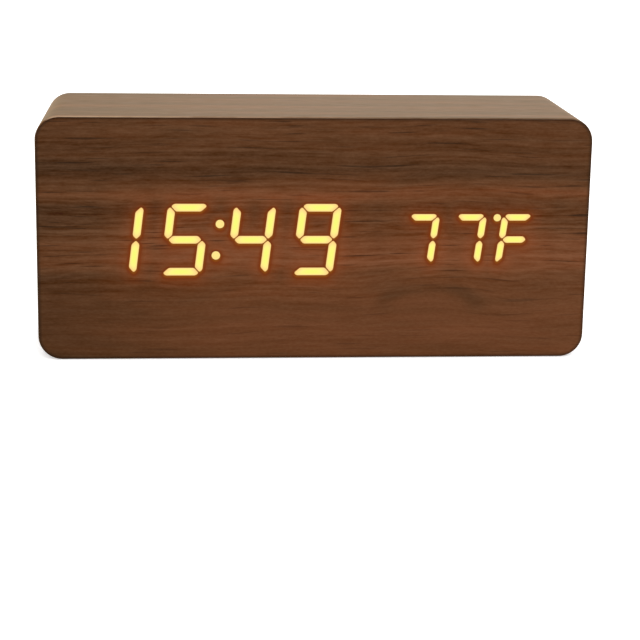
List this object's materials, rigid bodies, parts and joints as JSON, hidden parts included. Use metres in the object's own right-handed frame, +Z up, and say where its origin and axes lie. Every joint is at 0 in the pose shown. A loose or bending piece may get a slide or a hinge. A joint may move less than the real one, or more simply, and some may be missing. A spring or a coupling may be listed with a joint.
{
  "type": "digital alarm clock",
  "caption": "Rectangular wood-grain alarm clock with rounded long corners whose lit time and temperature digits shine through the front film; buttons, socket and battery door on the back.",
  "frame": {"origin": "middle of the base, on the surface that the clock stands on", "axes": "+X along the width to the viewer's right, +Y from the front to the back, +Z up; the display faces -Y"},
  "size_m": [0.15, 0.045, 0.067],
  "materials": {
    "walnut_film": "satin wood-grain film on MDF",
    "lit_film": "film lit from behind",
    "mdf": "raw MDF",
    "diffuser": "matt sheet",
    "reflector_white": "matt white moulding",
    "circuit_board": "solder mask",
    "led_resin": "clear resin",
    "zinc_steel": "zinc plated",
    "chip_black": "moulded epoxy",
    "tin": "tin plated",
    "header_nylon": "natural nylon",
    "ribbon_grey": "grey jacket",
    "cover_abs": "fine spark-eroded texture",
    "button_abs": "smooth satin",
    "black_steel": "blackened steel",
    "cell_jacket": "printed shrink sleeve",
    "nickel": "nickel plated",
    "red_wire": "satin jacket",
    "black_wire": "satin jacket",
    "aluminium_can": "drawn can"
  },
  "bodies": {
    "case": {"case_sleeve": "walnut_film", "front_film": "walnut_film", "lit_segments": "lit_film", "front_board": "mdf", "screw_blocks": "mdf", "diffuser_sheet": "diffuser", "reflector": "reflector_white", "display_board": "circuit_board", "segment_leds": "led_resin", "display_screws": "zinc_steel", "clock_chip": "chip_black", "driver_chip": "chip_black", "chip_pins": "tin", "quartz_crystal": "tin", "chip_resistors": "chip_black", "display_header": "header_nylon", "ribbon_plugs": "header_nylon", "ribbon_cable": "ribbon_grey", "rear_cover": "cover_abs", "cover_screws": "black_steel", "cell_top": "cell_jacket", "cell_middle": "cell_jacket", "cell_bottom": "cell_jacket", "contact_plates": "nickel", "contact_springs": "nickel", "positive_wire": "red_wire", "negative_wire": "black_wire", "control_board": "circuit_board", "board_screws": "zinc_steel", "control_header": "header_nylon", "switch_housings": "chip_black", "usb_shell": "nickel", "usb_tongue": "chip_black", "buzzer": "chip_black", "sound_sensor": "aluminium_can", "heat_sensor": "chip_black", "capacitor": "aluminium_can"},
    "set_button": {"set_button": "button_abs", "set_plunger": "button_abs"},
    "up_button": {"up_button": "button_abs", "up_plunger": "button_abs"},
    "down_button": {"down_button": "button_abs", "down_plunger": "button_abs"},
    "battery_door": {"battery_door": "cover_abs"}
  },
  "joints": [
    {"name": "set_button_press", "type": "slide", "parent": "case", "child": "set_button", "axis": [0, -1, 0], "range_m": [0, 0.0003], "stiffness_N_per_m": 3000},
    {"name": "down_button_press", "type": "slide", "parent": "case", "child": "down_button", "axis": [0, -1, 0], "range_m": [0, 0.0003], "stiffness_N_per_m": 3000},
    {"name": "up_button_press", "type": "slide", "parent": "case", "child": "up_button", "axis": [0, -1, 0], "range_m": [0, 0.0003], "stiffness_N_per_m": 3000},
    {"name": "battery_door_hinge", "type": "hinge", "parent": "case", "child": "battery_door", "pos_m": [0.00285, 0.0215, 0.0335], "axis": [0, 0, 1], "range_deg": [0, 70]}
  ]
}
